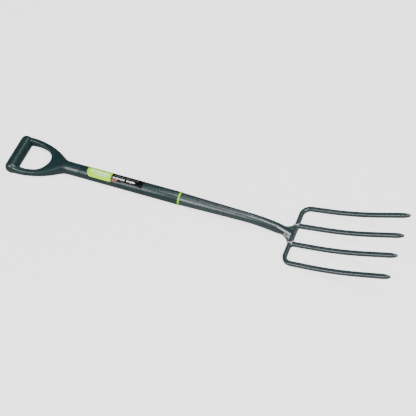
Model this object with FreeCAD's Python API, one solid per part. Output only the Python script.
import FreeCAD, Part
import math
import os

# Digging fork: a D handle, a sleeved tubular shaft and a four-tine welded head.
#
# It is designed in tool axes, in millimetres: X runs down the straight shaft, from the
# grip's axis to the tine tips, Y runs across the tool, and Z comes out of the concave
# front of the head. rest_turn() then lays the tool on its back, as it lies on a floor.

V = FreeCAD.Vector
ACROSS = V(0, 1, 0)

# Hand grip and D handle
GRIP_R = 17.0            # radius of the grip bar
GRIP_HALF = 57.5         # half the width over the two ends of the bar
GRIP_END_ROUND = 12.0    # rounding at each end of the bar
OPENING_HALF = 43.0      # half the width of the hand opening beside the bar
OPENING_DEEP = 87.5      # grip axis to the far side of the hand opening
OPENING_ROUND = 3.5      # rounding along the edge of the opening
NECK_START = 124.0       # the round neck begins inside the web between the arms
NECK_END = 172.0         # where the handle stops and the sleeve begins
TUBE_STOP = 126.0        # blind end of the neck's bore

# Shaft
SLEEVE_R = 16.9          # outside radius of the sleeve and of the handle's neck
RING_R = 17.3            # outside radius of the trim ring
RING_START = 438.0       # sleeve's front end, where the trim ring sits
RING_WIDE = 5.0
SHAFT_R = 13.8           # outside radius of the steel tube inside the sleeve
SHAFT_WALL = 1.5
SOCKET_DEEP = 54.0       # how far the tube goes into the head's socket
LABEL_START = 193.0
LABEL_SPLIT = 259.0      # lime panel up to here, dark panel beyond
LABEL_END = 343.0
LABEL_THICK = 0.25
LIME_HALF_ANGLE = 61.0   # how far each panel wraps round the sleeve, in degrees
DARK_HALF_ANGLE = 46.0

# Head: tapered socket, bent neck and crossbar
SOCKET_R = 16.3          # socket's outside radius behind the trim ring
THROAT_R = 12.9          # outside radius at and after the start of the bend
SOCKET_WALL = 2.0
BEND_START = 607.5
BEND_R = 394.0
BEND_ANGLE = 12.55       # how far the neck turns towards the back, in degrees
BAR_X = 734.0            # crossbar's axis
FISHTAIL_LONG = 42.0     # flattened stretch of the neck behind the crossbar
NOSE_R = 6.9             # the neck's round core where it ends, close to the crossbar
NOSE_END = 8.0

# Tines, all forged from one square bar with rounded corners
BAR_HALF = 5.4           # half the bar's thickness
BAR_CORNER = 2.7         # radius of its corners
TINE_LONG = 270.2        # crossbar's axis to the tine's point, along the tine
TINE_STRAIGHT = 64.5     # straight stretch before the tine curves
TINE_CURVE_R = 658.0
ROOT_RISE = 9.7          # tine's rise towards the front at the crossbar, in degrees
TIP_RISE = 20.4          # and at its point
OUTER_HALF = 86.0        # outer tines' half spacing at the crossbar
OUTER_SPLAY = 1.64       # outward lean of the outer tines, in degrees
CORNER_R = 21.0          # bend where the crossbar turns into each outer tine
INNER_HALF = 28.7
INNER_SPLAY = 0.36
POINT_LONG = 30.0        # stretch over which a tine narrows to its point

# Fixings on the back of the tool
SCREW_X = 152.0
SCREW_R = 2.0
SCREW_HEAD_R = 4.2
RIVET_X = 462.0
RIVET_R = 2.4
RIVET_HEAD_R = 4.4
HEAD_THICK = 2.0
SCREW_REACH = 8.0        # how far the screw's shank goes in from its seat
SCREW_SINK = 1.0         # depth of the seat under the neck's surface
SEAT_GAP = 0.3           # clearance round the screw's head in its seat
SCREW_RIM = 1.2          # rounding of the screw's head
RIVET_SINK = 1.2         # the rivet's head begins this far inside the socket's surface
RIVET_REACH = 5.0
RIVET_HEAD_HIGH = 2.6
RIVET_RIM = 1.5

# The D handle's outer body, station by station: how far along it is, half its width, half
# its thickness, and how square its section is (2 is an ellipse, 8 nearly a rectangle).
HANDLE_STATIONS = [
    (2.0, 56.8, 15.2, 4.6),
    (14.0, 57.4, 13.0, 5.2),
    (27.0, 57.2, 10.7, 6.2),
    (42.0, 55.5, 9.5, 7.0),
    (58.0, 52.2, 9.2, 7.0),
    (72.0, 48.0, 9.5, 6.6),
    (86.0, 42.5, 10.4, 5.8),
    (99.0, 36.0, 12.0, 4.7),
    (111.0, 28.7, 13.9, 3.7),
    (121.0, 22.2, 15.6, 2.9),
    (129.0, 18.2, 16.5, 2.4),
    (136.0, 16.9, 16.8, 2.1),
    (146.0, 15.6, 15.8, 2.0),
]

# The hand opening's curved side, from the arm round to the centre line.
OPENING_CURVE = [(30.0, OPENING_HALF), (46.0, 41.3), (58.0, 38.6), (67.5, 34.6),
                 (76.0, 27.5), (82.8, 17.0), (86.6, 7.5), (OPENING_DEEP, 0.0)]

# The flat wings on the end of the neck: distance behind the crossbar's axis, half width, half
# thickness and squareness.
FISHTAIL_STATIONS = [
    (FISHTAIL_LONG - 2.0, 9.0, 6.5, 2.2),
    (33.0, 11.6, 6.4, 2.3),
    (26.0, 13.3, 6.2, 2.5),
    (19.5, 15.6, 5.9, 2.8),
    (13.5, 20.0, 5.5, 3.2),
    (8.0, 27.5, 5.0, 3.6),
    (1.0, 40.0, 4.4, 4.0),
]

# The beads across the fishtail: distance behind the crossbar's axis, lift from it, radius
# and half length. One lies over its end, one on the back, which stays above the crossbar's
# underside, and one along the crossbar's front between the inner tines.
FISHTAIL_BEADS = [(1.6, 4.9, 2.6, 30.0), (7.0, -2.6, 1.7, 25.0), (-4.6, 1.2, 3.2, 19.0)]

# How a tine narrows: distance from its point, and the section's scale there.
POINT_STATIONS = [(POINT_LONG, 1.0), (22.0, 0.97), (14.0, 0.89), (8.0, 0.76),
                  (4.0, 0.58), (1.4, 0.38), (0.0, 0.2)]

# The bead round an inner tine's root: distance in front of the crossbar's axis, half width
# and half height.
COLLAR_STATIONS = [(3.0, 8.0, 5.9), (6.2, 8.2, 6.2), (8.2, 6.9, 6.0), (9.6, 5.7, 5.5)]
COLLAR_SQUARENESS = 3.2

LABEL_ROUNDNESS = 0.75   # the lime panel's rounded end, as a share of its half width
LABEL_SPARE = 1.0        # extra length of the tube that the label is cut from
SECTION_POINTS = 32      # points round a superellipse section
SETTLE_STEPS = 20        # rounds that find how the tool lies at rest


def rise(degrees):
    """Unit vector in the XZ plane, turned up from +X."""
    angle = math.radians(degrees)
    return V(math.cos(angle), 0, math.sin(angle))


def superellipse(centre, across, up, half_across, half_up, power):
    """Closed smooth wire from an ellipse (power 2) to nearly a rectangle (power 8)."""
    points = []
    for k in range(SECTION_POINTS):
        turn = 2 * math.pi * (k + 0.5) / SECTION_POINTS
        c, s = math.cos(turn), math.sin(turn)
        a = math.copysign(abs(c) ** (2 / power), c) * half_across
        b = math.copysign(abs(s) ** (2 / power), s) * half_up
        points.append(centre + across * a + up * b)
    curve = Part.BSplineCurve()
    curve.interpolate(Points=points, PeriodicFlag=True)
    return Part.Wire(curve.toShape())


def rounded_square(centre, across, up, scale=1.0):
    """Closed wire: the bar's square section with round corners."""
    flat = (BAR_HALF - BAR_CORNER) * scale
    corner = BAR_CORNER * scale

    def at(quarter, degrees):
        middle = math.radians(45 + 90 * quarter)
        sx, sy = math.copysign(1, math.cos(middle)), math.copysign(1, math.sin(middle))
        turn = math.radians(90 * quarter + degrees)
        a = sx * flat + corner * math.cos(turn)
        b = sy * flat + corner * math.sin(turn)
        return centre + across * a + up * b

    edges = []
    for quarter in range(4):
        edges.append(Part.Arc(at(quarter, 0), at(quarter, 45), at(quarter, 90)).toShape())
        edges.append(Part.makeLine(at(quarter, 90), at((quarter + 1) % 4, 0)))
    return Part.Wire(edges)


def loft(wires, ruled=False):
    return Part.makeLoft(wires, True, ruled)


def tube(x_from, x_to, outer, inner):
    """A straight round tube on the shaft's axis."""
    long = x_to - x_from
    axis = V(1, 0, 0)
    solid = Part.makeCylinder(outer, long, V(x_from, 0, 0), axis)
    return solid.cut(Part.makeCylinder(inner, long, V(x_from, 0, 0), axis))


# ------------------------------------------------------------------ D handle
def hand_opening():
    """The D-shaped hole for the fingers, as a tall solid to cut away."""
    curve = [V(x, y, 0) for x, y in OPENING_CURVE]
    curve += [V(p.x, -p.y, 0) for p in reversed(curve[:-1])]
    side = Part.BSplineCurve()
    side.interpolate(Points=curve, InitialTangent=V(1, -0.03, 0), FinalTangent=V(-1, -0.03, 0))
    top, bottom = curve[0], curve[-1]
    start_top, start_bottom = V(0, top.y, 0), V(0, bottom.y, 0)
    outline = Part.Wire([Part.makeLine(start_top, top), side.toShape(),
                         Part.makeLine(bottom, start_bottom),
                         Part.makeLine(start_bottom, start_top)])
    solid = Part.Face(outline).extrude(V(0, 0, 4 * GRIP_R))
    solid.translate(V(0, 0, -2 * GRIP_R))
    return solid


def grip_bar():
    bar = Part.makeCylinder(GRIP_R, 2 * GRIP_HALF, V(0, -GRIP_HALF, 0), ACROSS)
    ends = [e for e in bar.Edges if e.Closed and len(e.Vertexes) == 1 and e.Length > GRIP_R]
    return bar.makeFillet(GRIP_END_ROUND, ends)


def handle_body():
    """The two arms and the web between them, blending into the round neck."""
    wires = [superellipse(V(x, 0, 0), ACROSS, V(0, 0, 1), wide, thick, power)
             for x, wide, thick, power in HANDLE_STATIONS]
    body = loft(wires).cut(hand_opening())
    rims = [e for e in body.Edges
            if e.BoundBox.XMax < OPENING_DEEP + 1 and e.BoundBox.XMin > OPENING_CURVE[0][0] - 1]
    return body.makeFillet(OPENING_ROUND, rims)


def screw_shank(radius, reach):
    return Part.makeCylinder(radius, reach, V(SCREW_X, 0, -SLEEVE_R + SCREW_SINK), V(0, 0, 1))


def screw_head(radius):
    return Part.makeCylinder(radius, HEAD_THICK, V(SCREW_X, 0, -SLEEVE_R + SCREW_SINK),
                             V(0, 0, -1))


def d_handle():
    neck = Part.makeCylinder(SLEEVE_R, NECK_END - NECK_START, V(NECK_START, 0, 0), V(1, 0, 0))
    handle = handle_body().fuse([neck, grip_bar()])
    bore = Part.makeCylinder(SHAFT_R, NECK_END - TUBE_STOP, V(TUBE_STOP, 0, 0), V(1, 0, 0))
    return handle.cut([bore, screw_shank(SCREW_R, SLEEVE_R - SCREW_SINK),
                       screw_head(SCREW_HEAD_R + SEAT_GAP)])


def handle_screw():
    """Pan-head screw from the back, through the neck and the tube's wall."""
    head = screw_head(SCREW_HEAD_R)
    rim = [e for e in head.Edges if e.CenterOfMass.z < -SLEEVE_R and e.Closed]
    return head.makeFillet(SCREW_RIM, rim[:1]).fuse(screw_shank(SCREW_R, SCREW_REACH))


# ------------------------------------------------------------------ Shaft
def shaft_tube():
    steel = tube(TUBE_STOP, RING_START + RING_WIDE + SOCKET_DEEP, SHAFT_R, SHAFT_R - SHAFT_WALL)
    rivet_hole = Part.makeCylinder(RIVET_R, SHAFT_R, V(RIVET_X, 0, -SHAFT_R), V(0, 0, 1))
    return steel.cut([screw_shank(SCREW_R, SCREW_REACH), rivet_hole])


def label(x_from, x_to, half_angle, round_start):
    """A thin sticker lying on the front of the sleeve."""
    half = SLEEVE_R * math.sin(math.radians(half_angle))
    corners = [V(x_to, half, 0), V(x_to, -half, 0)]
    if round_start:
        turn = LABEL_ROUNDNESS * half
        a, b = V(x_from + turn, -half, 0), V(x_from + turn, half, 0)
        nose = Part.Arc(a, V(x_from, 0, 0), b).toShape()
        edges = [Part.makeLine(corners[0], corners[1]), Part.makeLine(corners[1], a), nose,
                 Part.makeLine(b, corners[0])]
        outline = Part.Wire(edges)
    else:
        corners += [V(x_from, -half, 0), V(x_from, half, 0)]
        outline = Part.makePolygon(corners + corners[:1])
    prism = Part.Face(outline).extrude(V(0, 0, 2 * SLEEVE_R))
    skin = tube(x_from - LABEL_SPARE, x_to + LABEL_SPARE, SLEEVE_R + LABEL_THICK, SLEEVE_R)
    return skin.common(prism)


# ------------------------------------------------------------------ Head
def neck_end():
    """End of the bend, the crossbar's centre, and the neck's direction and front normal."""
    direction = rise(-BEND_ANGLE)
    normal = rise(90 - BEND_ANGLE)
    start = V(BEND_START, 0, 0)
    centre = start - V(0, 0, BEND_R)
    end = centre + normal * BEND_R
    bar = end + direction * ((BAR_X - end.x) / direction.x)
    return end, bar, direction, normal


def bent_round(radius):
    """The neck's bend as a solid of constant round section."""
    ring = Part.Wire(Part.makeCircle(radius, V(BEND_START, 0, 0), V(1, 0, 0)))
    return Part.Face(ring).revolve(V(BEND_START, 0, -BEND_R), ACROSS, BEND_ANGLE)


def straight_round(start, end, r_start, r_end):
    axis = end - start
    if r_start == r_end:
        return Part.makeCylinder(r_start, axis.Length, start, axis)
    return Part.makeCone(r_start, r_end, axis.Length, start, axis)


def neck_nose():
    """The round core that tapers between the wings and ends in a dome by the crossbar."""
    end, bar, direction, normal = neck_end()
    stop = bar - direction * NOSE_END
    shoulder, brow = end + normal * THROAT_R, stop + normal * NOSE_R
    tip = stop + direction * NOSE_R
    dome = Part.Arc(brow, stop + (normal + direction) * (NOSE_R * math.sqrt(0.5)), tip)
    outline = Part.Wire([Part.makeLine(end, shoulder), Part.makeLine(shoulder, brow),
                         dome.toShape(), Part.makeLine(tip, end)])
    return Part.Face(outline).revolve(end, direction, 360)


def neck_socket(bow):
    end, bar, direction, normal = neck_end()
    back = V(RING_START + RING_WIDE, 0, 0)
    bend = V(BEND_START, 0, 0)
    shoulder = back + V(SOCKET_DEEP, 0, 0)
    outside = straight_round(back, bend, SOCKET_R, THROAT_R).fuse(bent_round(THROAT_R))
    wires = [superellipse(bar - direction * s, ACROSS, normal, wide, thick, power)
             for s, wide, thick, power in FISHTAIL_STATIONS]
    throat = THROAT_R - SOCKET_WALL
    inside = straight_round(back, shoulder, SHAFT_R, SHAFT_R)
    inside = inside.fuse([straight_round(shoulder, bend, SHAFT_R - SHAFT_WALL, throat),
                          bent_round(throat)])
    rivet_hole = Part.makeCylinder(RIVET_R, 2 * SOCKET_R, V(RIVET_X, 0, 0), V(0, 0, -1))
    return outside.fuse(neck_nose()).fuse(loft(wires)).cut([inside, rivet_hole, bow])


def socket_rivet(socket):
    """Domed rivet from the back, through the socket and the tube."""
    base = SOCKET_R - RIVET_SINK
    shank = Part.makeCylinder(RIVET_R, RIVET_REACH, V(RIVET_X, 0, -base), V(0, 0, 1))
    head = Part.makeCylinder(RIVET_HEAD_R, RIVET_HEAD_HIGH, V(RIVET_X, 0, -base), V(0, 0, -1))
    rim = [e for e in head.Edges if e.Closed and e.CenterOfMass.z < -base - RIVET_RIM / 2]
    return head.makeFillet(RIVET_RIM, rim[:1]).fuse(shank).cut(socket)


def tine(root, splay, start):
    """One curved, pointed tine. root is on the crossbar's axis, and start is how far along
    the tine its bar begins."""
    forward, front = rise(ROOT_RISE), rise(90 + ROOT_RISE)
    lean = math.radians(splay)
    ahead = forward * math.cos(lean) + ACROSS * math.sin(lean)
    side = ACROSS * math.cos(lean) - forward * math.sin(lean)
    turn = TIP_RISE - ROOT_RISE

    first = root + ahead * start
    curve_from = root + ahead * TINE_STRAIGHT
    straight = Part.Face(rounded_square(first, side, front)).extrude(curve_from - first)

    axis = ahead.cross(front)
    curve_centre = curve_from + front * TINE_CURVE_R
    curved = Part.Face(rounded_square(curve_from, side, front)).revolve(curve_centre, axis, turn)

    angle = math.radians(turn)
    ahead_tip = ahead * math.cos(angle) + front * math.sin(angle)
    front_tip = front * math.cos(angle) - ahead * math.sin(angle)
    curve_to = curve_centre - front_tip * TINE_CURVE_R
    left = TINE_LONG - TINE_STRAIGHT - TINE_CURVE_R * angle
    last = Part.Face(rounded_square(curve_to, side, front_tip)).extrude(
        ahead_tip * (left - POINT_LONG))
    point = curve_to + ahead_tip * left
    tip = loft([rounded_square(point - ahead_tip * s, side, front_tip, scale)
                for s, scale in POINT_STATIONS])
    return straight.fuse([curved, last, tip]).removeSplitter()


def tine_root(y):
    return V(BAR_X, y, neck_end()[1].z)


def outer_bow():
    """Crossbar and both outer tines: one bar, bent twice."""
    forward, front = rise(ROOT_RISE), rise(90 + ROOT_RISE)
    turn = 90 - OUTER_SPLAY
    tangent = CORNER_R * math.tan(math.radians(turn) / 2)
    half = OUTER_HALF - tangent
    bar = Part.Face(rounded_square(tine_root(-half), forward, front)).extrude(ACROSS * 2 * half)
    corner = Part.Face(rounded_square(tine_root(half), forward, front)).revolve(
        tine_root(half) + forward * CORNER_R, ACROSS.cross(forward), turn)
    side = corner.fuse(tine(tine_root(OUTER_HALF), OUTER_SPLAY, tangent))
    return bar.fuse([side, mirrored(side)]).removeSplitter()


def mirrored(shape):
    return shape.mirror(V(0, 0, 0), ACROSS)


def inner_tine(bow):
    return tine(tine_root(INNER_HALF), INNER_SPLAY, 0.0).cut(bow)


def tine_weld(bow, one_tine, socket):
    """The bead round an inner tine's root: a collar that narrows away from the crossbar."""
    forward, front = rise(ROOT_RISE), rise(90 + ROOT_RISE)
    root = tine_root(INNER_HALF)
    wires = [superellipse(root + forward * s, ACROSS, front, wide, high, COLLAR_SQUARENESS)
             for s, wide, high in COLLAR_STATIONS]
    return loft(wires).cut([bow, one_tine, socket])


def socket_weld(bow, socket, others):
    """The beads where the fishtail meets the crossbar, on its front, back and far side."""
    bar = neck_end()[1]
    forward, front = rise(ROOT_RISE), rise(90 + ROOT_RISE)
    beads = []
    for behind, lift, radius, half in FISHTAIL_BEADS:
        middle = bar - forward * behind + front * lift
        rod = Part.makeCylinder(radius, 2 * half, middle - ACROSS * half, ACROSS)
        caps = [Part.makeSphere(radius, middle + ACROSS * side * half) for side in (-1, 1)]
        beads.append(rod.fuse(caps).removeSplitter().cut([bow, socket] + others))
    return Part.makeCompound([s for bead in beads for s in bead.Solids])


# ------------------------------------------------------------------ Assembly
def rest_turn():
    """The small turn that lets the grip and the crossbar both touch the floor."""
    bar = neck_end()[1]
    flat = BAR_HALF - BAR_CORNER
    tilt = 0.0
    for _ in range(SETTLE_STEPS):
        corner = math.radians(ROOT_RISE) + tilt
        below = flat * (math.cos(corner) + math.sin(corner)) + BAR_CORNER
        tilt = math.asin((below - GRIP_R - bar.z * math.cos(tilt)) / bar.x)
    return FreeCAD.Rotation(ACROSS, -math.degrees(tilt))


def build():
    bow = outer_bow()
    left_tine = inner_tine(bow)
    socket = neck_socket(bow)
    left_weld = tine_weld(bow, left_tine, socket)
    ring_end = RING_START + RING_WIDE
    return {
        "d_handle": d_handle(),
        "handle_screw": handle_screw(),
        "shaft_tube": shaft_tube(),
        "shaft_sleeve": tube(NECK_END, RING_START, SLEEVE_R, SHAFT_R),
        "trim_ring": tube(RING_START, ring_end, RING_R, SHAFT_R),
        "label_lime": label(LABEL_START, LABEL_SPLIT, LIME_HALF_ANGLE, True),
        "label_dark": label(LABEL_SPLIT, LABEL_END, DARK_HALF_ANGLE, False),
        "neck_socket": socket,
        "socket_rivet": socket_rivet(socket),
        "outer_tine_bow": bow,
        "inner_tine_left": left_tine,
        "inner_tine_right": mirrored(left_tine),
        "socket_weld": socket_weld(bow, socket, [left_weld, mirrored(left_weld)]),
        "tine_weld_left": left_weld,
        "tine_weld_right": mirrored(left_weld),
    }


def main():
    os.makedirs("parts", exist_ok=True)
    nodes = build()
    turn = FreeCAD.Placement(V(0, 0, 0), rest_turn())
    for shape in nodes.values():
        shape.Placement = turn.multiply(shape.Placement)
    box = Part.makeCompound(list(nodes.values())).optimalBoundingBox(True, False)
    lift = V(-(box.XMin + box.XMax) / 2, 0, GRIP_R)
    for name, shape in nodes.items():
        shape.translate(lift)
        shape.exportStep(os.path.join("parts", name + ".step"))
        print(name, len(shape.Solids), shape.isValid(), round(shape.Volume))
    print("size", box.XLength, box.YLength, box.ZLength)


main()
